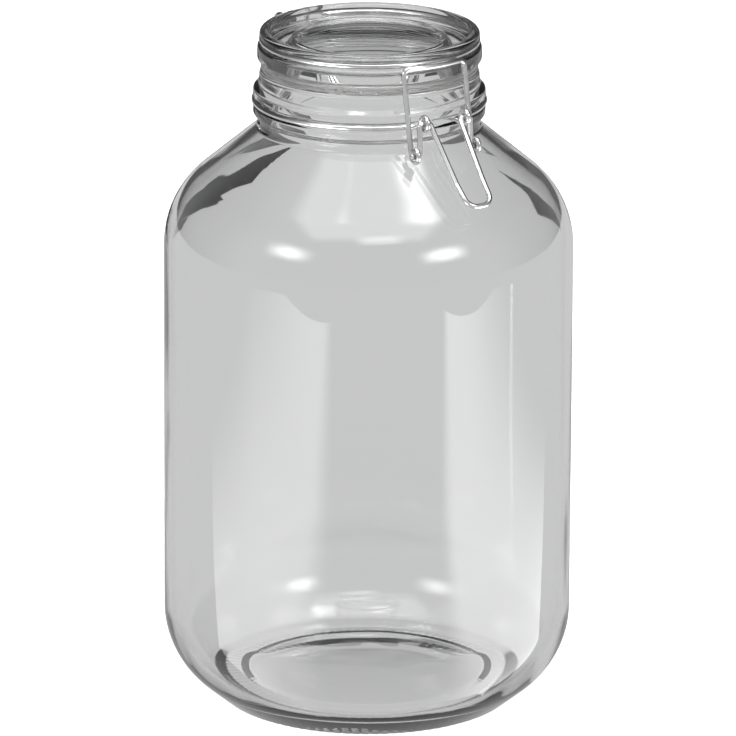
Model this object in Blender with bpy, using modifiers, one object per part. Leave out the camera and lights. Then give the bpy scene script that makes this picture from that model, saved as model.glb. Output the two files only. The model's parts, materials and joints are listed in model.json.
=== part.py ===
"""Bail clamp jar: a round glass storage jar with a glass lid, a sealing ring and a sprung wire clamp.

Metres, +Z up. The origin is on the jar's axis, in the plane that it stands on.
The clamp is at the front, towards -Y, and the lid's hinge is at the back, towards +Y.
"""
import bpy
import bmesh
from math import acos, ceil, cos, hypot, pi, radians, sin, sqrt, tan
from mathutils import Matrix, Vector

MM = 0.001

# Jar body
BODY_RADIUS = 90.0
WALL = 3.6
SHOULDER_START = 206.6      # height where the straight wall ends
SHOULDER_ARC = 41.6         # radius of the bend from the wall to the cone
SHOULDER_SLOPE = 40.0       # degrees from level
SHOULDER_WALL = 4.0
HEEL_ARC = 40.5
HEEL_CORNER = 21.5          # height where the wall's line meets the heel's cone
FOOT_INSET = 26.0           # from the wall in to the ring that the jar stands on
FOOT_WIDTH = 7.0
FOOT_ROUND = 4.0
PUSH_UP = 4.0               # how far the underside rises inside the foot
FLOOR_THICK = 6.5
FLOOR_CROWN = 2.5
FLOOR_INSET = 21.0          # from the wall in to the edge of the floor inside
FLOOR_EDGE_ROUND = 5.0
INNER_HEEL_CORNER = 23.2    # height where the inner wall's line meets the inner heel's cone
INNER_HEEL_ARC = 36.9

# Neck and finish
MOUTH_RADIUS = 42.8
FINISH_WALL = 5.4
NECK_STEP = 0.5             # how far the neck stands out past the finish
BEAD_STEP = 2.7             # how far the bead stands out past the finish
NECK_LENGTH = 4.0           # from the cone up to the bead
BEAD_HEIGHT = 13.0
BEAD_LEAD = 2.0             # height of the slopes above and below the bead
FINISH_HEIGHT = 6.1
GROOVE_FLANK = 1.0
GROOVE_COVER = 0.8          # how far the groove is deeper than the wire's radius

# Wire and clearances
WIRE_RADIUS = 1.2
SEAT_GAP = 0.3              # between faces that rest on each other
EYE_GAP = 0.3               # round a wire inside an eye
CLAMP_GAP = 0.5             # between the clamp bar and the lid
GROOVE_GAP = 0.4            # above and below the lid wire in its groove
SKIRT_GAP = 0.8             # round the lid's skirt inside the mouth
SEAL_GAP = 0.4              # between the skirt and the seal

# Lid and seal
SEAL_THICK = 3.9
SEAL_WIDTH = 5.2
SKIRT_DEPTH = 5.4
SKIRT_WIDTH = 6.0
FLANGE_STEP = 0.9           # how far the lid's flange stands out past the finish
FLANGE_HEIGHT = 7.2
FLANGE_ROUND = 1.6
LID_WIRE_INSET = 1.0        # from the rim in to the lid wire's middle
RIM_WALL = 4.4
RIM_HEIGHT = 3.0
LID_WELL_DEPTH = 6.2        # from the rim's top to the floor of the ring-shaped well
LID_RING_INSET = 14.4       # from the rim in to the inner ring
LID_RING_WIDTH = 2.2
LID_RING_DROP = 3.2         # from the rim's top to the inner ring's top
DISC_DROP = 4.2             # from the rim's top to the plain middle disc
UNDER_RECESS_STEP = 1.0
DISC_THICK = 5.9

# Clamp, in planes at right angles to X
HANDLE_HALF = 8.0           # half distance between the handle's legs at the pivot
HANDLE_TIP_HALF = 6.2
STUB_END = 18.4
PIVOT_STEP = 5.3            # from the bead out to the handle's pivot
LINK_DROP = 13.5            # from the pivot down to the link's stub
LINK_SHIFT = 0.5
HANDLE_KNEE = (18.8, -23.6)  # outwards and up from the pivot
HANDLE_TIP = (27.1, -32.1)
HANDLE_ROUND = 5.0
BAR_ANGLE = 38.0            # where the bar lies round the flange's rounded edge
LINK_ROUND = 3.0
EYE_TURN = 290.0
TIGHT_BEND = 1.5

# Hinge, at right angles to X
HINGE_STEP = 6.6            # from the bead out to the hinge bar
HINGE_BELOW_SEAL = 1.0
HINGE_EYE_X = 8.0
HINGE_POST_X = 13.0
POST_STEP = 3.6             # from the bead out to the foot of the hinge posts
WIRE_BEND = 2.5

STEPS = 36
STATION = 2 * pi / STEPS

GLASS = ("clear_glass", (0.86, 0.90, 0.89, 1.0), 0.03, 0.0)
RUBBER = ("clear_rubber", (0.80, 0.80, 0.77, 1.0), 0.45, 0.0)
STEEL = ("sprung_steel", (0.62, 0.62, 0.63, 1.0), 0.22, 1.0)

# What follows from the sizes above
foot_radius = BODY_RADIUS - FOOT_INSET
finish_radius = MOUTH_RADIUS + FINISH_WALL
neck_radius = finish_radius + NECK_STEP
bead_radius = finish_radius + BEAD_STEP
skirt_radius = MOUTH_RADIUS - SKIRT_GAP
flange_radius = finish_radius + FLANGE_STEP
ring_radius = finish_radius - LID_RING_INSET
pivot_out = bead_radius + PIVOT_STEP
hinge_out = bead_radius + HINGE_STEP
groove_depth = WIRE_RADIUS + GROOVE_COVER
lid_groove = WIRE_RADIUS * 2 + GROOVE_GAP * 2
slope_rise = tan(radians(SHOULDER_SLOPE))
shoulder_corner = SHOULDER_START + SHOULDER_ARC * tan(radians(90 - SHOULDER_SLOPE) / 2)
neck_base = shoulder_corner + (BODY_RADIUS - neck_radius) * slope_rise
bead_base = neck_base + NECK_LENGTH
bead_top = bead_base + BEAD_HEIGHT
groove_height = bead_base + BEAD_LEAD + (BEAD_HEIGHT - BEAD_LEAD) * 0.5
mouth_height = bead_top + BEAD_LEAD + FINISH_HEIGHT
seal_base = mouth_height + SEAT_GAP
flange_base = seal_base + SEAL_THICK + SEAT_GAP
flange_top = flange_base + FLANGE_HEIGHT
lid_groove_top = flange_top + lid_groove
rim_top = lid_groove_top + RIM_HEIGHT
neck_wire_radius = bead_radius - groove_depth + SEAT_GAP + WIRE_RADIUS
lid_wire_radius = finish_radius - LID_WIRE_INSET
lid_wire_height = flange_top + lid_groove / 2
eye_radius = WIRE_RADIUS * 2 + EYE_GAP
plane_pitch = WIRE_RADIUS * 2 + EYE_GAP
eye_x = HANDLE_HALF + plane_pitch
crank_x = eye_x + plane_pitch
link_x = crank_x + plane_pitch
pivot_height = groove_height + eye_radius
stub_out = pivot_out + LINK_SHIFT
stub_height = pivot_height - LINK_DROP
hinge_height = mouth_height - HINGE_BELOW_SEAL
bar_reach = FLANGE_ROUND + CLAMP_GAP + WIRE_RADIUS
bar_radius = flange_radius - FLANGE_ROUND + bar_reach * cos(radians(BAR_ANGLE))
bar_height = flange_top - FLANGE_ROUND + bar_reach * sin(radians(BAR_ANGLE))


def clear_scene():
    for item in list(bpy.data.objects):
        bpy.data.objects.remove(item, do_unlink=True)


def new_collection(name):
    collection = bpy.data.collections.new(name)
    bpy.context.scene.collection.children.link(collection)
    return collection


def material(spec):
    name, colour, roughness, metallic = spec
    found = bpy.data.materials.get(name)
    if found:
        return found
    made = bpy.data.materials.new(name)
    made.use_nodes = True
    made.diffuse_color = colour
    shader = made.node_tree.nodes["Principled BSDF"]
    shader.inputs["Base Color"].default_value = colour
    shader.inputs["Roughness"].default_value = roughness
    shader.inputs["Metallic"].default_value = metallic
    return made


def rounded(corners):
    """Corners are (point, radius): each is replaced by an arc of that radius, or kept where it is 0."""
    path = []
    for index, (point, radius) in enumerate(corners):
        if radius == 0 or index in (0, len(corners) - 1):
            path.append(point)
            continue
        back = (corners[index - 1][0] - point).normalized()
        ahead = (corners[index + 1][0] - point).normalized()
        half = acos(max(-1.0, min(1.0, back.dot(ahead)))) / 2
        turn = pi - 2 * half
        centre = point + (back + ahead).normalized() * (radius / sin(half))
        start = point + back * (radius / tan(half)) - centre
        axis = start.cross(point + ahead * (radius / tan(half)) - centre).normalized()
        step = radians(12) if radius > 10 else radians(36)
        count = max(1, ceil(turn / step))
        for part in range(count + 1):
            path.append(centre + Matrix.Rotation(turn * part / count, 3, axis) @ start)
    return path


def profile(corners):
    """Corners are (radius, height) or (radius, height, round), in millimetres."""
    points = []
    for corner in corners:
        edge = corner[2] if len(corner) > 2 else 0
        points.append((Vector((corner[0], 0, corner[1])), edge))
    return rounded(points)


def turned(name, path, closed, spec, collection):
    """A solid of revolution about Z. The path runs down its outer side."""
    mesh = bpy.data.meshes.new(name)
    build = bmesh.new()
    verts = [build.verts.new(point * MM) for point in path]
    for first, second in zip(verts, verts[1:]):
        build.edges.new((first, second))
    if closed:
        build.edges.new((verts[-1], verts[0]))
    build.to_mesh(mesh)
    build.free()
    made = bpy.data.objects.new(name, mesh)
    made.data.materials.append(material(spec))
    collection.objects.link(made)
    screw = made.modifiers.new("Turn", "SCREW")
    screw.axis = "Z"
    screw.angle = 2 * pi
    screw.steps = STEPS
    screw.render_steps = STEPS
    screw.use_merge_vertices = True
    screw.merge_threshold = 0.00001
    screw.use_smooth_shade = True
    return made


def wire(name, path, parent, collection):
    """A bent wire whose points are world millimetres, hung from the empty on its joint axis."""
    curve = bpy.data.curves.new(name, "CURVE")
    curve.dimensions = "3D"
    curve.bevel_depth = WIRE_RADIUS * MM
    curve.bevel_resolution = 2
    curve.use_fill_caps = True
    curve.twist_mode = "MINIMUM"
    spline = curve.splines.new("POLY")
    spline.points.add(len(path) - 1)
    origin = parent.location if parent else Vector((0, 0, 0))
    for slot, point in zip(spline.points, path):
        slot.co = (*(point * MM - origin), 1.0)
    spline.use_smooth = True
    made = bpy.data.objects.new(name, curve)
    made.data.materials.append(material(STEEL))
    collection.objects.link(made)
    made.parent = parent
    return made


def axis_empty(name, out, height, collection):
    made = bpy.data.objects.new(name, None)
    made.location = Vector((0, -out, height)) * MM
    made.empty_display_size = 0.01
    collection.objects.link(made)
    return made


def front(x, out, height):
    return Vector((x, -out, height))


def eye(x, out, height, start, turn):
    """Points round a wire eye about an axis along X; angles run from outwards towards up."""
    count = ceil(abs(turn) / 36)
    points = []
    for part in range(count + 1):
        angle = radians(start + turn * part / count)
        points.append(front(x, out + eye_radius * cos(angle), height + eye_radius * sin(angle)))
    return points


def hoop_points(radius, height, first, last):
    """Points of a hoop on the turned parts' own stations, from one station number to another."""
    points = []
    for station in range(first, last + 1):
        angle = station * STATION - pi / 2
        points.append(Vector((radius * cos(angle), radius * sin(angle), height)))
    return points


def mirrored(half):
    """A whole wire from its half at X > 0, whose last point is the one nearest to X = 0."""
    other = [Vector((-point.x, point.y, point.z)) for point in reversed(half)]
    if abs(half[-1].x) < 0.01:
        other = other[1:]
    return half + other


def jar_body(collection):
    inner = BODY_RADIUS - WALL
    inner_drop = SHOULDER_WALL / cos(radians(SHOULDER_SLOPE))
    inner_cone = shoulder_corner - inner_drop
    floor = PUSH_UP + FLOOR_THICK
    groove_floor = bead_radius - groove_depth
    lip = WIRE_RADIUS + GROOVE_FLANK
    path = profile([
        (0, floor + FLOOR_CROWN),
        (BODY_RADIUS - FLOOR_INSET, floor, FLOOR_EDGE_ROUND),
        (inner, INNER_HEEL_CORNER, INNER_HEEL_ARC),
        (inner, inner_cone + (BODY_RADIUS - inner) * slope_rise, SHOULDER_ARC - WALL),
        (MOUTH_RADIUS, inner_cone + (BODY_RADIUS - MOUTH_RADIUS) * slope_rise, 6.0),
        (MOUTH_RADIUS, mouth_height, 1.0),
        (finish_radius, mouth_height, 1.4),
        (finish_radius, bead_top + BEAD_LEAD, 0.8),
        (bead_radius, bead_top, 1.2),
        (bead_radius, groove_height + lip),
        (groove_floor, groove_height + WIRE_RADIUS),
        (groove_floor, groove_height - WIRE_RADIUS),
        (bead_radius, groove_height - lip),
        (bead_radius, bead_base + BEAD_LEAD, 1.2),
        (neck_radius, bead_base, 0.6),
        (neck_radius, neck_base, 3.0),
        (BODY_RADIUS, shoulder_corner, SHOULDER_ARC),
        (BODY_RADIUS, HEEL_CORNER, HEEL_ARC),
        (foot_radius, 0, FOOT_ROUND),
        (foot_radius - FOOT_WIDTH, 0, 2.5),
        (foot_radius - FOOT_WIDTH - PUSH_UP, PUSH_UP * 0.8, 3.0),
        (0, PUSH_UP),
    ])
    return turned("jar_body", path, False, GLASS, collection)


def lid_glass(parent, collection):
    well_inner = ring_radius + 1.4
    rim_inner = finish_radius - RIM_WALL
    ring_top = rim_top - LID_RING_DROP
    disc_top = rim_top - DISC_DROP
    well = rim_top - LID_WELL_DEPTH
    groove_floor = lid_wire_radius - WIRE_RADIUS - SEAT_GAP
    skirt_base = flange_base - SKIRT_DEPTH
    recess_top = disc_top - DISC_THICK
    path = profile([
        (0, disc_top),
        (ring_radius - LID_RING_WIDTH - 0.8, disc_top),
        (ring_radius - LID_RING_WIDTH, ring_top),
        (ring_radius, ring_top, 0.6),
        (well_inner, well, 0.8),
        (rim_inner - 0.8, well, 1.2),
        (rim_inner, rim_top, 1.5),
        (finish_radius, rim_top, 1.8),
        (finish_radius, lid_groove_top),
        (groove_floor, lid_groove_top),
        (groove_floor, flange_top),
        (flange_radius, flange_top, FLANGE_ROUND),
        (flange_radius, flange_base, 1.2),
        (skirt_radius, flange_base),
        (skirt_radius, skirt_base, 0.8),
        (skirt_radius - SKIRT_WIDTH, skirt_base, 0.8),
        (skirt_radius - SKIRT_WIDTH - UNDER_RECESS_STEP, recess_top, 1.5),
        (0, recess_top),
    ])
    made = turned("lid_glass", path, False, GLASS, collection)
    return hang(made, parent)


def seal_ring(parent, collection):
    inner = skirt_radius + SEAL_GAP
    outer = inner + SEAL_WIDTH
    bevel = 0.7
    top = seal_base + SEAL_THICK
    path = [
        (inner, top - bevel), (inner + bevel, top), (outer - bevel, top), (outer, top - bevel),
        (outer, seal_base + bevel), (outer - bevel, seal_base), (inner + bevel, seal_base),
        (inner, seal_base + bevel),
    ]
    made = turned("seal_ring", profile(path), True, RUBBER, collection)
    return hang(made, parent)


def hang(made, parent):
    made.parent = parent
    made.matrix_parent_inverse = Matrix.Translation(-parent.location)
    return made


def neck_wire(collection):
    """Hoop in the neck groove, with an eye at each front end and a raised hinge bar at the back."""
    start_out = sqrt(neck_wire_radius ** 2 - eye_x ** 2)
    post_in = sqrt(neck_wire_radius ** 2 - HINGE_POST_X ** 2)
    half = eye(eye_x, pivot_out, pivot_height, 270 + EYE_TURN, -EYE_TURN)
    corners = [(point, 0) for point in half]
    corners.append((front(eye_x, start_out, groove_height), 2.0))
    corners += [(p, 0) for p in hoop_points(neck_wire_radius, groove_height, 2, STEPS // 2 - 2)]
    corners += [
        (front(HINGE_POST_X, -post_in, groove_height), WIRE_BEND),
        (front(HINGE_POST_X, -bead_radius - POST_STEP, groove_height), WIRE_BEND),
        (front(HINGE_POST_X, -hinge_out, hinge_height), WIRE_BEND),
        (front(0, -hinge_out, hinge_height), 0),
    ]
    return wire("neck_wire", mirrored(rounded(corners)), None, collection)


def lid_wire(parent, collection):
    """Hoop in the lid groove, whose two tails end in eyes round the hinge bar."""
    tail_out = hinge_out + eye_radius
    spoke_in = sqrt(lid_wire_radius ** 2 - HINGE_EYE_X ** 2)
    loop = eye(HINGE_EYE_X, -hinge_out, hinge_height, 180 + EYE_TURN, -EYE_TURN)
    corners = [(point, 0) for point in loop]
    corners += [
        (front(HINGE_EYE_X, -tail_out, lid_wire_height), 4.0),
        (front(HINGE_EYE_X, -spoke_in, lid_wire_height), 2.0),
    ]
    hoop = hoop_points(lid_wire_radius, lid_wire_height, 0, STEPS // 2 - 2)
    corners += [(point, 0) for point in reversed(hoop)]
    return wire("lid_wire", mirrored(rounded(corners)), parent, collection)


def handle_lever(parent, collection):
    """Looped handle; each leg turns through its neck-wire eye, then cranks down to the link's stub."""
    knee_half = HANDLE_TIP_HALF + (HANDLE_HALF - HANDLE_TIP_HALF) * 0.4
    corners = [
        (front(STUB_END, stub_out, stub_height), 0),
        (front(crank_x, stub_out, stub_height), TIGHT_BEND),
        (front(crank_x, pivot_out, pivot_height), TIGHT_BEND),
        (front(HANDLE_HALF, pivot_out, pivot_height), TIGHT_BEND),
        (front(knee_half, pivot_out + HANDLE_KNEE[0], pivot_height + HANDLE_KNEE[1]), 8.0),
        (front(HANDLE_TIP_HALF, pivot_out + HANDLE_TIP[0], pivot_height + HANDLE_TIP[1]), HANDLE_ROUND),
        (front(0, pivot_out + HANDLE_TIP[0], pivot_height + HANDLE_TIP[1]), 0),
    ]
    return wire("handle_lever", mirrored(rounded(corners)), parent, collection)


def clamp_link(parent, collection):
    """Inverted U: its bar follows the lid's edge and each leg ends in a hook round the lever's stub."""
    corner_out = sqrt(bar_radius ** 2 - link_x ** 2)
    rise = bar_height - stub_height
    run = corner_out - stub_out
    lean = acos(eye_radius / hypot(run, rise))
    meet = radians(90) + acos(rise / hypot(run, rise)) + lean
    start = meet * 180 / pi
    loop = eye(link_x, stub_out, stub_height, start + EYE_TURN - 30, -(EYE_TURN - 30))
    corners = [(point, 0) for point in loop]
    corners.append((front(link_x, corner_out, bar_height), LINK_ROUND))
    bar = hoop_points(bar_radius, bar_height, 0, 1)
    corners += [(point, 0) for point in reversed(bar)]
    return wire("clamp_link", mirrored(rounded(corners)), parent, collection)


def main():
    clear_scene()
    jar = new_collection("bail_clamp_jar")
    hinge = axis_empty("lid_hinge_axis", -hinge_out, hinge_height, jar)
    pivot = axis_empty("lever_pivot_axis", pivot_out, pivot_height, jar)
    stub = axis_empty("link_stub_axis", stub_out, stub_height, jar)
    jar_body(jar)
    neck_wire(jar)
    lid_glass(hinge, jar)
    seal_ring(hinge, jar)
    lid_wire(hinge, jar)
    handle_lever(pivot, jar)
    clamp_link(stub, jar)


main()
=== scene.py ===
import json
from math import acos, ceil, cos, hypot, pi, radians, sin, sqrt, tan

import bmesh
import bpy
from mathutils import Matrix, Vector


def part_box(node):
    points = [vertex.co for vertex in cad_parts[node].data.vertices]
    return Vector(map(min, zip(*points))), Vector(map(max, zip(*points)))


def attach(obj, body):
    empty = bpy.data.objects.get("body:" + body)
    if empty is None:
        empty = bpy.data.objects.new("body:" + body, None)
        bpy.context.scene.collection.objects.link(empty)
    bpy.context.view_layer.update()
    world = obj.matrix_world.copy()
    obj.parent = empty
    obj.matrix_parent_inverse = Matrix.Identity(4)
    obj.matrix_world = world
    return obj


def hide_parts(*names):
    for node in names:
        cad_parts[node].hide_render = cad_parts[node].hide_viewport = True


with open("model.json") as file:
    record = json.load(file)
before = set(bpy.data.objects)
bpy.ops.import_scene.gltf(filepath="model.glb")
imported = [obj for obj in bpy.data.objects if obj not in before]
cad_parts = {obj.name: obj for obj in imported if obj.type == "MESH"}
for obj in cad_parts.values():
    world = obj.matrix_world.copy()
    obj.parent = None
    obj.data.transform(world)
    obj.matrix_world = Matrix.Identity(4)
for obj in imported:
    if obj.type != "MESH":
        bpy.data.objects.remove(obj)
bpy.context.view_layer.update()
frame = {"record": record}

mm = 0.001

# The frame's own sizes, in millimetres
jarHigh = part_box("jar_body")[1] / mm
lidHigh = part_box("lid_glass")[1] / mm
sealLow, sealHigh = [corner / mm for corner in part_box("seal_ring")]
joints = {joint["name"]: joint for joint in frame["record"]["behaviour"]["joints"]}
hingeAt = Vector(joints["lid_hinge"]["pos_m"]) / mm
pivotAt = Vector(joints["lever_pivot"]["pos_m"]) / mm
stubAt = Vector(joints["link_swing"]["pos_m"]) / mm

neck = {
    "flangeProud": 0.9,      # how far the lid's flange stands out past the mouth
    "beadProud": 2.7,        # and the neck's bead
}
bodyRadius = jarHigh.x
mouthHeight = jarHigh.z
flangeRadius = lidHigh.x
rimTop = lidHigh.z
finishRadius = flangeRadius - neck["flangeProud"]
beadRadius = finishRadius + neck["beadProud"]
print("frame read: body radius %.1f, height %.1f" % (bodyRadius, rimTop))


# Building tools

detail = {
    "onAxis": 0.001,         # a point nearer to the axis than this lies on it
    "broadRound": 10.0,      # rounds wider than this, in millimetres, get the finer step
    "broadStep": 4,          # degrees
    "tightStep": 12,
    "eyeStep": 10,
    "hoopStep": 3,
    "wireSides": 20,
    "wireSharp": 50,
    "wireEnd": ((0.0, 0.55), (0.12, 0.82), (0.32, 0.96), (0.6, 1.0)),
}


def roundedPath(corners):
    # corners are (point, radius): each turns into an arc, or stays where its radius is 0
    path = []
    for index, (point, radius) in enumerate(corners):
        if radius == 0 or index in (0, len(corners) - 1):
            path.append(point)
            continue
        back = (corners[index - 1][0] - point).normalized()
        ahead = (corners[index + 1][0] - point).normalized()
        half = acos(max(-1.0, min(1.0, back.dot(ahead)))) / 2
        turn = pi - 2 * half
        centre = point + (back + ahead).normalized() * (radius / sin(half))
        start = point + back * (radius / tan(half)) - centre
        end = point + ahead * (radius / tan(half)) - centre
        axis = start.cross(end).normalized()
        stepTurn = detail["broadStep"] if radius > detail["broadRound"] else detail["tightStep"]
        count = max(2, ceil(turn / radians(stepTurn)))
        for part in range(count + 1):
            path.append(centre + Matrix.Rotation(turn * part / count, 3, axis) @ start)
    return path


def outline(corners):
    # corners are (radius, height, round) in millimetres, down the outer side
    return roundedPath([(Vector((r, 0, z)), edge) for r, z, edge in corners])


def addPiece(name, mesh, finish, body, replaced):
    piece = bpy.data.objects.new(name, mesh)
    bpy.context.scene.collection.objects.link(piece)
    piece.data.materials.append(finish)
    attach(piece, body)
    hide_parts(replaced)


def turnedMesh(name, path, segments, closed=False, shape=None):
    # shape(r, z, angle) may move a point, for marks that don't go all the way round
    build = bmesh.new()
    rings = []
    for point in path:
        if point.x < detail["onAxis"]:
            rings.append([build.verts.new((0, 0, point.z * mm))])
            continue
        ring = []
        for step in range(segments):
            angle = 2 * pi * step / segments
            r, z = (point.x, point.z) if shape is None else shape(point.x, point.z, angle)
            ring.append(build.verts.new((r * cos(angle) * mm, r * sin(angle) * mm, z * mm)))
        rings.append(ring)
    pairs = list(zip(rings, rings[1:]))
    if closed:
        pairs.append((rings[-1], rings[0]))
    for upper, lower in pairs:
        for step in range(segments):
            after = (step + 1) % segments
            if len(upper) == 1:
                build.faces.new((upper[0], lower[step], lower[after]))
            elif len(lower) == 1:
                build.faces.new((upper[step], lower[0], upper[after]))
            else:
                build.faces.new((upper[step], lower[step], lower[after], upper[after]))
    mesh = bpy.data.meshes.new(name)
    build.to_mesh(mesh)
    build.free()
    mesh.shade_smooth()
    return mesh


def sweptMesh(name, path, radius):
    # a round wire along the path, with softly rounded ends
    sides = detail["wireSides"]
    tangents = []
    for index in range(len(path)):
        ahead = path[min(index + 1, len(path) - 1)] - path[max(index - 1, 0)]
        tangents.append(ahead.normalized())
    side = tangents[0].orthogonal().normalized()
    rings = []
    last = len(path) - 1
    for index, (point, tangent) in enumerate(zip(path, tangents)):
        side = (side - tangent * side.dot(tangent)).normalized()
        up = tangent.cross(side)
        stack = [(0.0, 1.0)]
        if index == 0:
            stack = detail["wireEnd"]
        if index == last:
            stack = [(-along, size) for along, size in reversed(detail["wireEnd"])]
        for along, size in stack:
            middle = point + tangent * (along * radius)
            ring = []
            for step in range(sides):
                angle = 2 * pi * step / sides
                ring.append(middle + (side * cos(angle) + up * sin(angle)) * (radius * size))
            rings.append(ring)
    build = bmesh.new()
    made = [[build.verts.new(point * mm) for point in ring] for ring in rings]
    for lower, upper in zip(made, made[1:]):
        for step in range(sides):
            after = (step + 1) % sides
            build.faces.new((lower[step], lower[after], upper[after], upper[step]))
    build.faces.new(list(reversed(made[0])))
    build.faces.new(made[-1])
    mesh = bpy.data.meshes.new(name)
    build.to_mesh(mesh)
    build.free()
    mesh.shade_smooth()
    mesh.set_sharp_from_angle(angle=radians(detail["wireSharp"]))
    return mesh


def front(x, out, height):
    return Vector((x, -out, height))


def eyePoints(x, out, height, radius, start, turn):
    # round an axis along X; angles run from outwards towards up
    count = ceil(abs(turn) / detail["eyeStep"])
    points = []
    for part in range(count + 1):
        angle = radians(start + turn * part / count)
        points.append(front(x, out + radius * cos(angle), height + radius * sin(angle)))
    return points


def hoopPoints(radius, height, first, last):
    # angles in degrees, 0 at the front and growing towards +X
    count = ceil(abs(last - first) / detail["hoopStep"])
    points = []
    for part in range(count + 1):
        angle = radians(first + (last - first) * part / count - 90)
        points.append(Vector((radius * cos(angle), radius * sin(angle), height)))
    return points


def mirroredPath(half):
    other = [Vector((-point.x, point.y, point.z)) for point in reversed(half)]
    if abs(half[-1].x) < detail["onAxis"]:
        other = other[1:]
    return half + other


# Effects that several finishes share

wear = {
    "patchDetail": 5.0,
    "patchRoughness": 0.55,
    "patchEdge": (0.45, 0.72),
    "speckDetail": 2.0,
    "speckEdge": (0.62, 0.78),
    "waveDetail": 1.5,
    "waveRoughness": 0.4,
}


def newGroup(name, inputs, outputs):
    group = bpy.data.node_groups.new(name, "ShaderNodeTree")
    for label, value in inputs:
        socket = group.interface.new_socket(name=label, in_out="INPUT", socket_type="NodeSocketFloat")
        socket.default_value = value
    for label in outputs:
        group.interface.new_socket(name=label, in_out="OUTPUT", socket_type="NodeSocketFloat")
    source = group.nodes.new("NodeGroupInput")
    target = group.nodes.new("NodeGroupOutput")
    return group, source, target


def makeSmudges():
    # broad soft patches broken up by fine specks: where hands and dust have dulled the surface
    group, source, target = newGroup("smudges", [("Scale", 20.0), ("Speck", 400.0)], ["Mask"])
    nodes, links = group.nodes, group.links
    place = nodes.new("ShaderNodeTexCoord")
    broad = nodes.new("ShaderNodeTexNoise")
    broad.inputs["Detail"].default_value = wear["patchDetail"]
    broad.inputs["Roughness"].default_value = wear["patchRoughness"]
    fine = nodes.new("ShaderNodeTexNoise")
    fine.inputs["Detail"].default_value = wear["speckDetail"]
    shape = nodes.new("ShaderNodeMapRange")
    shape.inputs["From Min"].default_value = wear["patchEdge"][0]
    shape.inputs["From Max"].default_value = wear["patchEdge"][1]
    specks = nodes.new("ShaderNodeMapRange")
    specks.inputs["From Min"].default_value = wear["speckEdge"][0]
    specks.inputs["From Max"].default_value = wear["speckEdge"][1]
    total = nodes.new("ShaderNodeMath")
    total.operation = "MAXIMUM"
    links.new(place.outputs["Object"], broad.inputs["Vector"])
    links.new(place.outputs["Object"], fine.inputs["Vector"])
    links.new(source.outputs["Scale"], broad.inputs["Scale"])
    links.new(source.outputs["Speck"], fine.inputs["Scale"])
    links.new(broad.outputs["Fac"], shape.inputs["Value"])
    links.new(fine.outputs["Fac"], specks.inputs["Value"])
    links.new(shape.outputs["Result"], total.inputs[0])
    links.new(specks.outputs["Result"], total.inputs[1])
    links.new(total.outputs["Value"], target.inputs["Mask"])
    return group


def makeRipple():
    # slow waves of a pressed surface, drawn out along Z by Stretch
    group, source, target = newGroup("ripple", [("Scale", 20.0), ("Stretch", 0.4)], ["Height"])
    nodes, links = group.nodes, group.links
    place = nodes.new("ShaderNodeTexCoord")
    parts = nodes.new("ShaderNodeSeparateXYZ")
    drawn = nodes.new("ShaderNodeMath")
    drawn.operation = "MULTIPLY"
    joined = nodes.new("ShaderNodeCombineXYZ")
    wave = nodes.new("ShaderNodeTexNoise")
    wave.inputs["Detail"].default_value = wear["waveDetail"]
    wave.inputs["Roughness"].default_value = wear["waveRoughness"]
    links.new(place.outputs["Object"], parts.inputs["Vector"])
    links.new(parts.outputs["X"], joined.inputs["X"])
    links.new(parts.outputs["Y"], joined.inputs["Y"])
    links.new(parts.outputs["Z"], drawn.inputs[0])
    links.new(source.outputs["Stretch"], drawn.inputs[1])
    links.new(drawn.outputs["Value"], joined.inputs["Z"])
    links.new(joined.outputs["Vector"], wave.inputs["Vector"])
    links.new(source.outputs["Scale"], wave.inputs["Scale"])
    links.new(wave.outputs["Fac"], target.inputs["Height"])
    return group


smudges = makeSmudges()
ripple = makeRipple()


def newMaterial(name):
    made = bpy.data.materials.new(name)
    made.use_nodes = True
    nodes, links = made.node_tree.nodes, made.node_tree.links
    return made, nodes, links, nodes["Principled BSDF"]


def placeGroup(nodes, group, **values):
    node = nodes.new("ShaderNodeGroup")
    node.node_tree = group
    for label, value in values.items():
        node.inputs[label].default_value = value
    return node


def rangeOf(nodes, links, value, low, high):
    node = nodes.new("ShaderNodeMapRange")
    node.inputs["To Min"].default_value = low
    node.inputs["To Max"].default_value = high
    links.new(value, node.inputs["Value"])
    return node.outputs["Result"]


def blendTones(nodes, links, first, second, amount):
    node = nodes.new("ShaderNodeMix")
    node.data_type = "RGBA"
    node.inputs["A"].default_value = first
    node.inputs["B"].default_value = second
    links.new(amount, node.inputs["Factor"])
    return node.outputs["Result"]


def bumpFrom(nodes, links, height, strength, distance):
    node = nodes.new("ShaderNodeBump")
    node.inputs["Strength"].default_value = strength
    node.inputs["Distance"].default_value = distance
    links.new(height, node.inputs["Height"])
    return node.outputs["Normal"]


# Pressed glass

glassLook = {
    "jarTint": (0.968, 0.971, 0.971, 1.0),
    "lidTint": (0.97, 0.975, 0.975, 1.0),
    "ior": 1.5,
    "clean": 0.0,
    "dull": 0.035,
    "smudgeScale": 14.0,
    "speckScale": 900.0,
    "jarWave": (22.0, 0.35, 0.0008),       # scale, stretch, depth in metres
    "lidWave": (30.0, 1.0, 0.00018),
}


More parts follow.
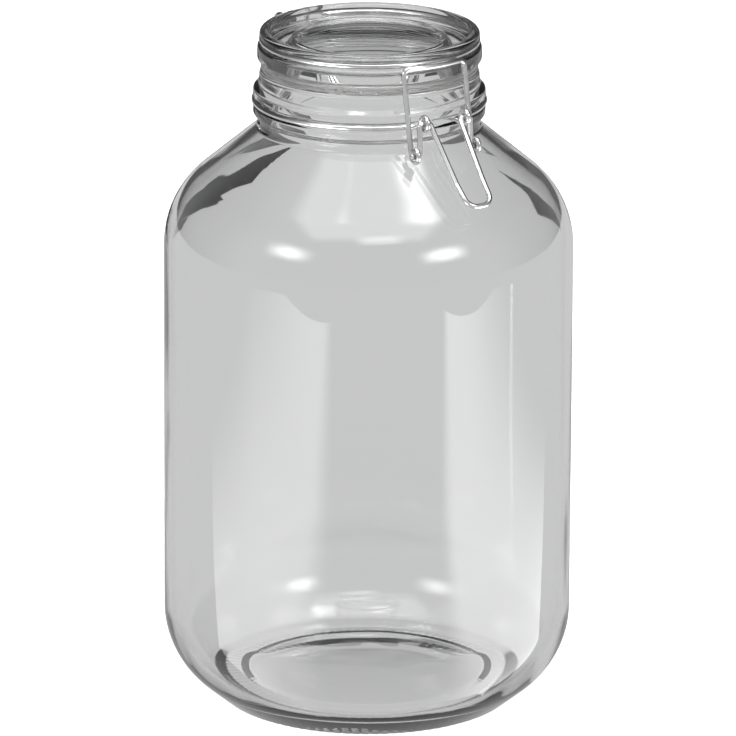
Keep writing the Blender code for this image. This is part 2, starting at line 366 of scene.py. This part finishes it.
def makeGlass(name, tint, wave):
    waveScale, stretch, waveDepth = wave
    made, nodes, links, shader = newMaterial(name)
    shader.inputs["Base Color"].default_value = tint
    shader.inputs["Transmission Weight"].default_value = 1.0
    shader.inputs["IOR"].default_value = glassLook["ior"]
    marks = placeGroup(nodes, smudges, Scale=glassLook["smudgeScale"], Speck=glassLook["speckScale"])
    rough = rangeOf(nodes, links, marks.outputs["Mask"], glassLook["clean"], glassLook["dull"])
    links.new(rough, shader.inputs["Roughness"])
    waves = placeGroup(nodes, ripple, Scale=waveScale, Stretch=stretch)
    normal = bumpFrom(nodes, links, waves.outputs["Height"], 1.0, waveDepth)
    links.new(normal, shader.inputs["Normal"])
    return made


jarGlass = makeGlass("pressedJarGlass", glassLook["jarTint"], glassLook["jarWave"])
lidGlass = makeGlass("pressedLidGlass", glassLook["lidTint"], glassLook["lidWave"])

# Clear rubber

rubberLook = {
    "pale": (0.97, 0.97, 0.96, 1.0),
    "shade": (0.90, 0.90, 0.88, 1.0),
    "glossy": 0.12,
    "dusty": 0.35,
    "through": 0.82,
    "ior": 1.43,
    "smudgeScale": 60.0,
    "speckScale": 700.0,
    "grainScale": 1800.0,
    "grainStrength": 0.25,
    "grainDepth": 0.0002,
}


def makeRubber():
    made, nodes, links, shader = newMaterial("sealRubber")
    marks = placeGroup(nodes, smudges, Scale=rubberLook["smudgeScale"], Speck=rubberLook["speckScale"])
    tone = blendTones(nodes, links, rubberLook["pale"], rubberLook["shade"], marks.outputs["Mask"])
    links.new(tone, shader.inputs["Base Color"])
    rough = rangeOf(nodes, links, marks.outputs["Mask"], rubberLook["glossy"], rubberLook["dusty"])
    links.new(rough, shader.inputs["Roughness"])
    shader.inputs["Transmission Weight"].default_value = rubberLook["through"]
    shader.inputs["IOR"].default_value = rubberLook["ior"]
    grain = nodes.new("ShaderNodeTexNoise")
    grain.inputs["Scale"].default_value = rubberLook["grainScale"]
    strength, depth = rubberLook["grainStrength"], rubberLook["grainDepth"]
    normal = bumpFrom(nodes, links, grain.outputs["Fac"], strength, depth)
    links.new(normal, shader.inputs["Normal"])
    return made


sealRubber = makeRubber()

# Sprung steel wire

steelLook = {
    "bright": (0.80, 0.80, 0.81, 1.0),
    "tarnish": (0.30, 0.29, 0.28, 1.0),
    "polished": 0.10,
    "worn": 0.32,
    "smudgeScale": 90.0,
    "speckScale": 1100.0,
    "tarnished": 0.55,       # the most that the tarnish covers
    "drawLines": 1400.0,
    "lineStretch": 0.15,
    "lineStrength": 0.18,
    "lineDepth": 0.00006,
}


def makeSteel():
    made, nodes, links, shader = newMaterial("sprungSteel")
    shader.inputs["Metallic"].default_value = 1.0
    marks = placeGroup(nodes, smudges, Scale=steelLook["smudgeScale"], Speck=steelLook["speckScale"])
    amount = rangeOf(nodes, links, marks.outputs["Mask"], 0.0, steelLook["tarnished"])
    tone = blendTones(nodes, links, steelLook["bright"], steelLook["tarnish"], amount)
    links.new(tone, shader.inputs["Base Color"])
    rough = rangeOf(nodes, links, marks.outputs["Mask"], steelLook["polished"], steelLook["worn"])
    links.new(rough, shader.inputs["Roughness"])
    lines = placeGroup(nodes, ripple, Scale=steelLook["drawLines"], Stretch=steelLook["lineStretch"])
    strength, depth = steelLook["lineStrength"], steelLook["lineDepth"]
    normal = bumpFrom(nodes, links, lines.outputs["Height"], strength, depth)
    links.new(normal, shader.inputs["Normal"])
    return made


sprungSteel = makeSteel()
print("finishes made")

# The jar, which is one piece of glass from its foot to its mouth

jar = {
    "sides": 288,
    "wall": 3.6,
    "shoulderStart": 206.6,
    "shoulderArc": 41.6,
    "shoulderSlope": 40.0,
    "shoulderWall": 4.0,
    "heelArc": 40.5,
    "heelCorner": 21.5,
    "floorInset": 21.0,
    "floorEdge": 5.0,
    "innerHeelCorner": 23.2,
    "innerHeelArc": 36.9,
    "innerShoulderArc": 38.0,
    "innerNeckArc": 8.0,
    "footInset": 26.0,
    "footWidth": 7.0,
    "footOuterArc": 4.0,
    "footInnerArc": 2.5,
    "pushUp": 4.0,
    "pushUpEdge": 0.8,       # the recess under the floor, at its edge, as a share of its middle
    "pushUpArc": 3.0,
    "floor": 10.5,
    "floorCrown": 2.5,
    "mouthWall": 5.4,
    "lipInnerArc": 1.6,
    "lipOuterArc": 1.8,
    "lipFootArc": 1.2,
    "neckProud": 0.5,
    "neckLength": 4.0,
    "neckArc": 3.4,
    "beadHeight": 13.0,
    "beadLead": 2.0,
    "beadArc": 1.6,
    "beadFootArc": 1.0,
    "grooveDepth": 2.0,
    "grooveHalf": 1.2,
    "grooveLip": 2.2,
    "grooveLipArc": 0.5,
    "grooveFloorArc": 0.4,
    "knurls": 96,            # small crescents pressed into the foot
    "knurlDepth": 0.175,
    "knurlHeight": 0.8,      # how far up the foot they reach
    "knurlInner": 1.0,
    "knurlOuter": 4.0,
}


def jarOutline():
    rise = tan(radians(jar["shoulderSlope"]))
    corner = jar["shoulderStart"] + jar["shoulderArc"] * tan(radians(90 - jar["shoulderSlope"]) / 2)
    neckRadius = finishRadius + jar["neckProud"]
    neckBase = corner + (bodyRadius - neckRadius) * rise
    beadBase = neckBase + jar["neckLength"]
    beadTop = beadBase + jar["beadHeight"]
    groove = beadBase + jar["beadLead"] + (jar["beadHeight"] - jar["beadLead"]) / 2
    grooveFloor = beadRadius - jar["grooveDepth"]
    inner = bodyRadius - jar["wall"]
    cone = corner - jar["shoulderWall"] / cos(radians(jar["shoulderSlope"]))
    mouth = finishRadius - jar["mouthWall"]
    foot = bodyRadius - jar["footInset"]
    recess = foot - jar["footWidth"]
    return outline([
        (0, jar["floor"] + jar["floorCrown"], 0),
        (bodyRadius - jar["floorInset"], jar["floor"], jar["floorEdge"]),
        (inner, jar["innerHeelCorner"], jar["innerHeelArc"]),
        (inner, cone + (bodyRadius - inner) * rise, jar["innerShoulderArc"]),
        (mouth, cone + (bodyRadius - mouth) * rise, jar["innerNeckArc"]),
        (mouth, mouthHeight, jar["lipInnerArc"]),
        (finishRadius, mouthHeight, jar["lipOuterArc"]),
        (finishRadius, beadTop + jar["beadLead"], jar["lipFootArc"]),
        (beadRadius, beadTop, jar["beadArc"]),
        (beadRadius, groove + jar["grooveLip"], jar["grooveLipArc"]),
        (grooveFloor, groove + jar["grooveHalf"], jar["grooveFloorArc"]),
        (grooveFloor, groove - jar["grooveHalf"], jar["grooveFloorArc"]),
        (beadRadius, groove - jar["grooveLip"], jar["grooveLipArc"]),
        (beadRadius, beadBase + jar["beadLead"], jar["beadArc"]),
        (neckRadius, beadBase, jar["beadFootArc"]),
        (neckRadius, neckBase, jar["neckArc"]),
        (bodyRadius, corner, jar["shoulderArc"]),
        (bodyRadius, jar["heelCorner"], jar["heelArc"]),
        (foot, 0, jar["footOuterArc"]),
        (recess, 0, jar["footInnerArc"]),
        (recess - jar["pushUp"], jar["pushUp"] * jar["pushUpEdge"], jar["pushUpArc"]),
        (0, jar["pushUp"], 0),
    ])


def jarMarks(r, z, angle):
    foot = bodyRadius - jar["footInset"]
    inner = foot - jar["footWidth"] - jar["knurlInner"]
    if z < jar["knurlHeight"] and inner < r < foot + jar["knurlOuter"]:
        z += jar["knurlDepth"] * (0.5 + 0.5 * cos(angle * jar["knurls"]))
    return r, z


def makeJar():
    mesh = turnedMesh("jarBody", jarOutline(), jar["sides"], shape=jarMarks)
    addPiece("jarBody", mesh, jarGlass, "jar", "jar_body")


makeJar()
print("jar made")

# The lid and its seal

lid = {
    "sides": 240,
    "rimWall": 4.4,
    "wellDepth": 6.2,
    "ringInset": 14.4,
    "ringWidth": 2.2,
    "ringDrop": 3.2,
    "discDrop": 4.2,
    "discThick": 5.9,
    "flangeHeight": 7.2,
    "grooveHeight": 3.2,
    "rimHeight": 3.0,
    "skirtDepth": 5.4,
    "skirtWidth": 6.0,
    "skirtGap": 0.8,
    "skirtTaper": 1.0,
    "wireInset": 1.0,
    "grooveInset": 1.5,      # from the lid wire's middle in to the groove's floor
    "ringFlare": 0.8,        # how far the inner ring's near side leans out
    "ringSlope": 1.4,        # and its far side
    "rimTaper": 0.8,
    "ringArcs": (0.5, 0.5, 0.7, 1.2),
    "rimArcs": (1.6, 1.7, 2.0, 0.5),
    "grooveArc": 0.6,
    "flangeArc": 1.6,
    "flangeFootArc": 1.4,
    "skirtRootArc": 0.3,
    "skirtArc": 1.0,
    "recessArc": 1.8,
}
flangeTop = rimTop - lid["rimHeight"] - lid["grooveHeight"]
flangeBase = flangeTop - lid["flangeHeight"]
lidWireRadius = finishRadius - lid["wireInset"]
lidWireHeight = flangeTop + lid["grooveHeight"] / 2


def lidOutline():
    ring = finishRadius - lid["ringInset"]
    discTop = rimTop - lid["discDrop"]
    well = rimTop - lid["wellDepth"]
    ringTop = rimTop - lid["ringDrop"]
    rimInner = finishRadius - lid["rimWall"]
    grooveFloor = lidWireRadius - lid["grooveInset"]
    skirt = finishRadius - jar["mouthWall"] - lid["skirtGap"]
    skirtInner = skirt - lid["skirtWidth"]
    skirtBase = flangeBase - lid["skirtDepth"]
    recessTop = discTop - lid["discThick"]
    ringArcs, rimArcs = lid["ringArcs"], lid["rimArcs"]
    return outline([
        (0, discTop, 0),
        (ring - lid["ringWidth"] - lid["ringFlare"], discTop, ringArcs[0]),
        (ring - lid["ringWidth"], ringTop, ringArcs[1]),
        (ring, ringTop, ringArcs[2]),
        (ring + lid["ringSlope"], well, ringArcs[3]),
        (rimInner - lid["rimTaper"], well, rimArcs[0]),
        (rimInner, rimTop, rimArcs[1]),
        (finishRadius, rimTop, rimArcs[2]),
        (finishRadius, rimTop - lid["rimHeight"], rimArcs[3]),
        (grooveFloor, flangeTop + lid["grooveHeight"], lid["grooveArc"]),
        (grooveFloor, flangeTop, lid["grooveArc"]),
        (flangeRadius, flangeTop, lid["flangeArc"]),
        (flangeRadius, flangeBase, lid["flangeFootArc"]),
        (skirt, flangeBase, lid["skirtRootArc"]),
        (skirt, skirtBase, lid["skirtArc"]),
        (skirtInner, skirtBase, lid["skirtArc"]),
        (skirtInner - lid["skirtTaper"], recessTop, lid["recessArc"]),
        (0, recessTop, 0),
    ])


def makeLid():
    mesh = turnedMesh("lidGlass", lidOutline(), lid["sides"])
    addPiece("lidGlass", mesh, lidGlass, "lid", "lid_glass")


seal = {
    "sides": 240,
    "width": 5.2,
    "outerArc": 0.9,
    "innerArc": 0.7,
    "partingDepth": 0.35,    # the step round the outside where the mould's halves met
    "partingTop": 0.45,
    "partingUpper": 0.3,
    "partingLower": 0.1,
    "partingArc": 0.3,
    "partingFloorArc": 0.15,
}


def makeSeal():
    inner, outer = sealHigh.x - seal["width"], sealHigh.x
    top, base = sealHigh.z, sealLow.z
    middle = (top + base) / 2
    parting = outer - seal["partingDepth"]
    path = outline([
        (outer, middle, 0),
        (outer, base, seal["outerArc"]),
        (inner, base, seal["innerArc"]),
        (inner, top, seal["innerArc"]),
        (outer, top, seal["outerArc"]),
        (outer, middle + seal["partingTop"], seal["partingArc"]),
        (parting, middle + seal["partingUpper"], seal["partingFloorArc"]),
        (parting, middle + seal["partingLower"], seal["partingFloorArc"]),
    ])
    path.reverse()
    mesh = turnedMesh("sealRing", path, seal["sides"], closed=True)
    fixFacing(mesh)
    addPiece("sealRing", mesh, sealRubber, "lid", "seal_ring")


def fixFacing(mesh):
    build = bmesh.new()
    build.from_mesh(mesh)
    bmesh.ops.recalc_face_normals(build, faces=build.faces)
    build.to_mesh(mesh)
    build.free()


makeLid()
makeSeal()
print("lid and seal made")

# The wires, each from its half at X > 0

wire = {
    "radius": 1.2,
    "play": 0.3,             # the gap between two wires that turn in each other
    "eyeTurn": 290.0,
    "linkEyeTurn": 260.0,
    "handleHalf": 8.0,
    "tipHalf": 6.2,
    "stubEnd": 18.4,
    "knee": (18.8, -23.6),
    "tip": (27.1, -32.1),
    "barAngle": 38.0,
    "barGap": 0.5,
    "hingeEyeX": 8.0,
    "postX": 13.0,
    "postStep": 3.6,
    "kneeShare": 0.4,        # how much of the loop's narrowing is left at the knee
    "neckHoop": (18, 162),   # degrees round from the front
    "lidHoop": (165, 0),
    "barHoop": (14, 0),
    "neckBends": (2.0, 2.0, 2.5, 2.5),
    "lidBends": (4.0, 1.8),
    "handleBends": (1.5, 1.5, 1.5, 8.0, 5.0),
    "linkBend": 3.0,
}
wireRadius = wire["radius"]
pitch = wireRadius * 2 + wire["play"]
eyeRadius = pitch
eyeX = wire["handleHalf"] + pitch
crankX = eyeX + pitch
linkX = crankX + pitch
neckWireHeight = pivotAt.z - eyeRadius
neckWireRadius = beadRadius - jar["grooveDepth"] + wire["play"] + wireRadius
hingeOut = hingeAt.y
pivotOut = -pivotAt.y
stubOut = -stubAt.y


def makeWire(name, half, body, replaced):
    mesh = sweptMesh(name, mirroredPath(roundedPath(half)), wireRadius)
    addPiece(name, mesh, sprungSteel, body, replaced)


def neckWireHalf():
    startOut = sqrt(neckWireRadius ** 2 - eyeX ** 2)
    postIn = sqrt(neckWireRadius ** 2 - wire["postX"] ** 2)
    turn = wire["eyeTurn"]
    bends = wire["neckBends"]
    half = [(p, 0) for p in eyePoints(eyeX, pivotOut, pivotAt.z, eyeRadius, 270 + turn, -turn)]
    half.append((front(eyeX, startOut, neckWireHeight), bends[0]))
    half += [(p, 0) for p in hoopPoints(neckWireRadius, neckWireHeight, *wire["neckHoop"])]
    half += [
        (front(wire["postX"], -postIn, neckWireHeight), bends[1]),
        (front(wire["postX"], -beadRadius - wire["postStep"], neckWireHeight), bends[2]),
        (front(wire["postX"], -hingeOut, hingeAt.z), bends[3]),
        (front(0, -hingeOut, hingeAt.z), 0),
    ]
    return half


def lidWireHalf():
    tailOut = hingeOut + eyeRadius
    spokeIn = sqrt(lidWireRadius ** 2 - wire["hingeEyeX"] ** 2)
    turn = wire["eyeTurn"]
    loop = eyePoints(wire["hingeEyeX"], -hingeOut, hingeAt.z, eyeRadius, 180 + turn, -turn)
    half = [(p, 0) for p in loop]
    half += [
        (front(wire["hingeEyeX"], -tailOut, lidWireHeight), wire["lidBends"][0]),
        (front(wire["hingeEyeX"], -spokeIn, lidWireHeight), wire["lidBends"][1]),
    ]
    half += [(p, 0) for p in hoopPoints(lidWireRadius, lidWireHeight, *wire["lidHoop"])]
    return half


def handleHalf():
    kneeHalf = wire["tipHalf"] + (wire["handleHalf"] - wire["tipHalf"]) * wire["kneeShare"]
    knee, tip = wire["knee"], wire["tip"]
    bends = wire["handleBends"]
    return [
        (front(wire["stubEnd"], stubOut, stubAt.z), 0),
        (front(crankX, stubOut, stubAt.z), bends[0]),
        (front(crankX, pivotOut, pivotAt.z), bends[1]),
        (front(wire["handleHalf"], pivotOut, pivotAt.z), bends[2]),
        (front(kneeHalf, pivotOut + knee[0], pivotAt.z + knee[1]), bends[3]),
        (front(wire["tipHalf"], pivotOut + tip[0], pivotAt.z + tip[1]), bends[4]),
        (front(0, pivotOut + tip[0], pivotAt.z + tip[1]), 0),
    ]


def linkHalf():
    edge = lid["flangeArc"]
    reach = edge + wire["barGap"] + wireRadius
    barRadius = flangeRadius - edge + reach * cos(radians(wire["barAngle"]))
    barHeight = flangeTop - edge + reach * sin(radians(wire["barAngle"]))
    cornerOut = sqrt(barRadius ** 2 - linkX ** 2)
    rise = barHeight - stubAt.z
    run = cornerOut - stubOut
    start = 90 + (acos(rise / hypot(run, rise)) + acos(eyeRadius / hypot(run, rise))) * 180 / pi
    turn = wire["linkEyeTurn"]
    half = [(p, 0) for p in eyePoints(linkX, stubOut, stubAt.z, eyeRadius, start + turn, -turn)]
    half.append((front(linkX, cornerOut, barHeight), wire["linkBend"]))
    half += [(p, 0) for p in hoopPoints(barRadius, barHeight, *wire["barHoop"])]
    return half


makeWire("neckWire", neckWireHalf(), "jar", "neck_wire")
makeWire("lidWire", lidWireHalf(), "lid", "lid_wire")
makeWire("handleLever", handleHalf(), "lever", "handle_lever")
makeWire("clampLink", linkHalf(), "link", "clamp_link")
print("wires made")

# Studio

studio = {
    "azimuth": -35.5,
    "elevation": 16.8,
    "distance": 4.0,
    "lens": 443.5,
    "sensor": 36.0,
    "sight": 50.0,
    "aimHeight": 0.149,
    "roll": 0.29,
    "floorTone": 0.9,
    "floorGlow": 0.88,
    "floorRough": 0.9,
    "floorShine": 0.1,
    "floorHalf": 6.0,
    "floorDrop": 0.0002,
    "tableTone": 0.60,       # the table as the glass sees it
    "tableCardLift": 0.0006,
    "hardEdge": 0.001,       # the fade of a card's side that is meant to be sharp
    "lightAim": 0.16,
    "cardAim": 0.2,
    "skyFront": 0.55,        # the room on the camera's side
    "skyBehind": 0.08,       # the unlit room behind the table
    "skyTurn": (-0.35, 0.30),
    "skyTop": 0.55,
    "skyTopEdge": (0.65, 0.95),
}


def awayFrom(azimuth, elevation):
    # the direction out of the jar's middle; azimuth is 0 on the camera's side and grows to the right
    turn, lift = radians(studio["azimuth"] + azimuth), radians(elevation)
    return Vector((sin(turn) * cos(lift), -cos(turn) * cos(lift), sin(lift)))


def makeCamera():
    back = awayFrom(0, studio["elevation"])
    data = bpy.data.cameras.new("camera")
    data.lens = studio["lens"]
    data.sensor_width = studio["sensor"]
    data.clip_end = studio["sight"]
    camera = bpy.data.objects.new("camera", data)
    look = back.to_track_quat("Z", "Y").to_matrix().to_4x4()
    roll = Matrix.Rotation(radians(studio["roll"]), 4, "Z")
    aim = Vector((0, 0, studio["aimHeight"]))
    camera.matrix_world = Matrix.Translation(aim + back * studio["distance"]) @ look @ roll
    bpy.context.scene.collection.objects.link(camera)
    bpy.context.scene.camera = camera


def newEmission(nodes, tone):
    node = nodes.new("ShaderNodeEmission")
    node.inputs["Color"].default_value = (tone, tone, tone, 1.0)
    return node


def makeFloor():
    # white where it is seen directly, a mid grey table where the glass shows it
    made, nodes, links, shader = newMaterial("paleFloor")
    tone = studio["floorTone"]
    shader.inputs["Base Color"].default_value = (tone, tone, tone, 1.0)
    shader.inputs["Roughness"].default_value = studio["floorRough"]
    shader.inputs["Specular IOR Level"].default_value = studio["floorShine"]
    shader.inputs["Emission Color"].default_value = (1.0, 1.0, 1.0, 1.0)
    shader.inputs["Emission Strength"].default_value = studio["floorGlow"]
    table = newEmission(nodes, studio["tableTone"])
    path = nodes.new("ShaderNodeLightPath")
    mixed = nodes.new("ShaderNodeMixShader")
    links.new(path.outputs["Is Camera Ray"], mixed.inputs["Fac"])
    links.new(table.outputs["Emission"], mixed.inputs[1])
    links.new(shader.outputs["BSDF"], mixed.inputs[2])
    links.new(mixed.outputs["Shader"], nodes["Material Output"].inputs["Surface"])
    build = bmesh.new()
    bmesh.ops.create_grid(build, x_segments=1, y_segments=1, size=studio["floorHalf"])
    mesh = bpy.data.meshes.new("floor")
    build.to_mesh(mesh)
    build.free()
    mesh.materials.append(made)
    floor = bpy.data.objects.new("floor", mesh)
    floor.location.z = -studio["floorDrop"]
    floor.rotation_euler.z = radians(studio["azimuth"])
    bpy.context.scene.collection.objects.link(floor)


def makeLight(name, azimuth, elevation, distance, width, height, power):
    back = awayFrom(azimuth, elevation)
    data = bpy.data.lights.new(name, "AREA")
    data.shape = "RECTANGLE"
    data.size = width
    data.size_y = height
    data.energy = power
    light = bpy.data.objects.new(name, data)
    place = Vector((0, 0, studio["lightAim"])) + back * distance
    light.matrix_world = Matrix.Translation(place) @ back.to_track_quat("Z", "Y").to_matrix().to_4x4()
    light.visible_camera = False
    bpy.context.scene.collection.objects.link(light)


def softMask(nodes, links, place, edges):
    # 1 in the middle of a card; edges are the shares that fade out at its left, right, near and far sides
    parts = nodes.new("ShaderNodeSeparateXYZ")
    links.new(place, parts.inputs["Vector"])
    mask = None
    sides = (("X", 0), ("X", 1), ("Y", 0), ("Y", 1))
    for (axis, start), edge in zip(sides, edges):
        fade = nodes.new("ShaderNodeMapRange")
        fade.interpolation_type = "SMOOTHSTEP"
        fade.inputs["From Min"].default_value = start
        fade.inputs["From Max"].default_value = abs(start - max(edge, studio["hardEdge"]))
        links.new(parts.outputs[axis], fade.inputs["Value"])
        if mask is None:
            mask = fade.outputs["Result"]
            continue
        both = nodes.new("ShaderNodeMath")
        both.operation = "MULTIPLY"
        links.new(mask, both.inputs[0])
        links.new(fade.outputs["Result"], both.inputs[1])
        mask = both.outputs["Value"]
    return mask


def makeCard(name, mesh, glow, edges, seenThrough):
    # a soft light card that is never seen directly, only in reflections and through the glass; with no
    # glow it is a black sheet of painted shade
    made = bpy.data.materials.new(name)
    made.use_nodes = True
    nodes, links = made.node_tree.nodes, made.node_tree.links
    nodes.remove(nodes["Principled BSDF"])
    lit = newEmission(nodes, 1.0)
    lit.inputs["Strength"].default_value = glow
    clear = nodes.new("ShaderNodeBsdfTransparent")
    mixed = nodes.new("ShaderNodeMixShader")
    place = nodes.new("ShaderNodeUVMap")
    links.new(softMask(nodes, links, place.outputs["UV"], edges), mixed.inputs["Fac"])
    links.new(clear.outputs["BSDF"], mixed.inputs[1])
    links.new(lit.outputs["Emission"], mixed.inputs[2])
    links.new(mixed.outputs["Shader"], nodes["Material Output"].inputs["Surface"])
    mesh.materials.append(made)
    card = bpy.data.objects.new(name, mesh)
    card.visible_camera = False
    card.visible_diffuse = False
    card.visible_transmission = seenThrough
    card.visible_shadow = False
    bpy.context.scene.collection.objects.link(card)


def quadMesh(name, corners):
    mesh = bpy.data.meshes.new(name)
    mesh.from_pydata([tuple(corner) for corner in corners], [], [(0, 1, 2, 3)])
    flat = mesh.uv_layers.new(name="card")
    for loop, uv in zip(flat.data, ((0, 0), (1, 0), (1, 1), (0, 1))):
        loop.uv = uv
    return mesh


def skyCard(name, azimuth, elevation, distance, width, height, glow, edge):
    back = awayFrom(azimuth, elevation)
    turned = back.to_track_quat("Z", "Y").to_matrix()
    middle = Vector((0, 0, studio["cardAim"])) + back * distance
    corners = []
    for across, along in ((-1, -1), (1, -1), (1, 1), (-1, 1)):
        corners.append(middle + turned @ Vector((across * width / 2, along * height / 2, 0)))
    makeCard(name, quadMesh(name, corners), glow, (edge, edge, edge, edge), True)


def tableCard(name, corners, glow, edges, seenThrough):
    # corners are (right, towards the camera) from the jar's axis
    turn = Matrix.Rotation(radians(studio["azimuth"]), 3, "Z")
    placed = [turn @ Vector((right, -near, studio["tableCardLift"])) for right, near in corners]
    makeCard(name, quadMesh(name, placed), glow, edges, seenThrough)


def makeSky():
    world = bpy.data.worlds.new("studioSky")
    bpy.context.scene.world = world
    world.use_nodes = True
    nodes, links = world.node_tree.nodes, world.node_tree.links
    place = nodes.new("ShaderNodeTexCoord")
    turned = nodes.new("ShaderNodeMapping")
    turned.inputs["Rotation"].default_value[2] = -radians(studio["azimuth"])
    parts = nodes.new("ShaderNodeSeparateXYZ")
    behind = nodes.new("ShaderNodeMapRange")
    behind.interpolation_type = "SMOOTHSTEP"
    behind.inputs["From Min"].default_value = studio["skyTurn"][0]
    behind.inputs["From Max"].default_value = studio["skyTurn"][1]
    behind.inputs["To Min"].default_value = studio["skyFront"]
    behind.inputs["To Max"].default_value = studio["skyBehind"]
    above = nodes.new("ShaderNodeMapRange")
    above.interpolation_type = "SMOOTHSTEP"
    above.inputs["From Min"].default_value = studio["skyTopEdge"][0]
    above.inputs["From Max"].default_value = studio["skyTopEdge"][1]
    mixed = nodes.new("ShaderNodeMix")
    mixed.inputs["B"].default_value = studio["skyTop"]
    links.new(place.outputs["Generated"], turned.inputs["Vector"])
    links.new(turned.outputs["Vector"], parts.inputs["Vector"])
    links.new(parts.outputs["Y"], behind.inputs["Value"])
    links.new(parts.outputs["Z"], above.inputs["Value"])
    links.new(above.outputs["Result"], mixed.inputs["Factor"])
    links.new(behind.outputs["Result"], mixed.inputs["A"])
    room = nodes["Background"]
    room.inputs["Color"].default_value = (1.0, 1.0, 1.0, 1.0)
    links.new(mixed.outputs["Result"], room.inputs["Strength"])
    white = nodes.new("ShaderNodeBackground")
    white.inputs["Color"].default_value = (1.0, 1.0, 1.0, 1.0)
    path = nodes.new("ShaderNodeLightPath")
    chosen = nodes.new("ShaderNodeMixShader")
    links.new(path.outputs["Is Camera Ray"], chosen.inputs["Fac"])
    links.new(room.outputs["Background"], chosen.inputs[1])
    links.new(white.outputs["Background"], chosen.inputs[2])
    links.new(chosen.outputs["Shader"], nodes["World Output"].inputs["Surface"])


# azimuth, elevation, distance, width, height and power
softboxes = {
    "topSoftbox": (0, 84, 1.9, 1.1, 0.8, 32),
}

# azimuth, elevation, distance, width, height, glow and the share of each side that fades
skyCards = {
    "overheadPanel": (0, 80, 1.6, 1.9, 1.5, 2.3, 0.15),
    "overheadRight": (84, 71, 1.5, 0.60, 0.5, 9.0, 0.4),
    "overheadLeft": (-56, 82, 1.5, 0.26, 0.4, 13.0, 0.4),
    "overheadFront": (10, 57, 1.6, 0.8, 0.26, 5.5, 0.35),
    "leftPanel": (-50, 31, 1.7, 0.95, 0.62, 9.0, 0.5),
    "rightPanel": (47, 31, 1.7, 0.95, 0.60, 10.0, 0.5),
}

# pools of light on the table: corners, glow and fading sides
pools = {
    "leftPool": (((-0.021, 0.085), (-0.27, 0.80), (-0.95, 0.45), (-0.55, -0.02)), 4.0, (0, 0, 0.12, 0.85)),
    "rightPool": (((0.032, 0.084), (0.53, 0.65), (0.90, 0.15), (0.50, -0.20)), 4.8, (0, 0, 0.10, 0.85)),
    "rightStrip": (((0.062, 0.066), (0.86, 0.115), (0.86, 0.075), (0.062, 0.060)), 5.0, (0, 0, 0.2, 0.2)),
}

# black sheets laid on the table behind the jar and hidden from the camera: painted shade, which the
# shoulder shows as dark wedges
paintedShadeSheets = {
    "leftShadeSheet": ((-0.105, -1.0), (-0.105, -1.45), (-0.38, -1.45), (-0.38, -1.07)),
    "outerShadeSheet": ((-0.23, -0.86), (-0.23, -1.02), (-0.42, -1.10), (-0.42, -0.86)),
    "rightShadeSheet": ((0.175, -0.98), (0.36, -1.0), (0.36, -1.40), (0.175, -1.40)),
}

makeCamera()
makeFloor()
makeSky()
for name, values in softboxes.items():
    makeLight(name, *values)
for name, values in skyCards.items():
    skyCard(name, *values)
for name, (corners, glow, edges) in pools.items():
    tableCard(name, corners, glow, edges, False)
# painted shade: black sheets with no glow, seen in the glass but not by the camera
for name, corners in paintedShadeSheets.items():
    tableCard(name, corners, 0.0, (0, 0, 0, 0), True)
bpy.context.scene.view_settings.view_transform = "Standard"
print("studio made")
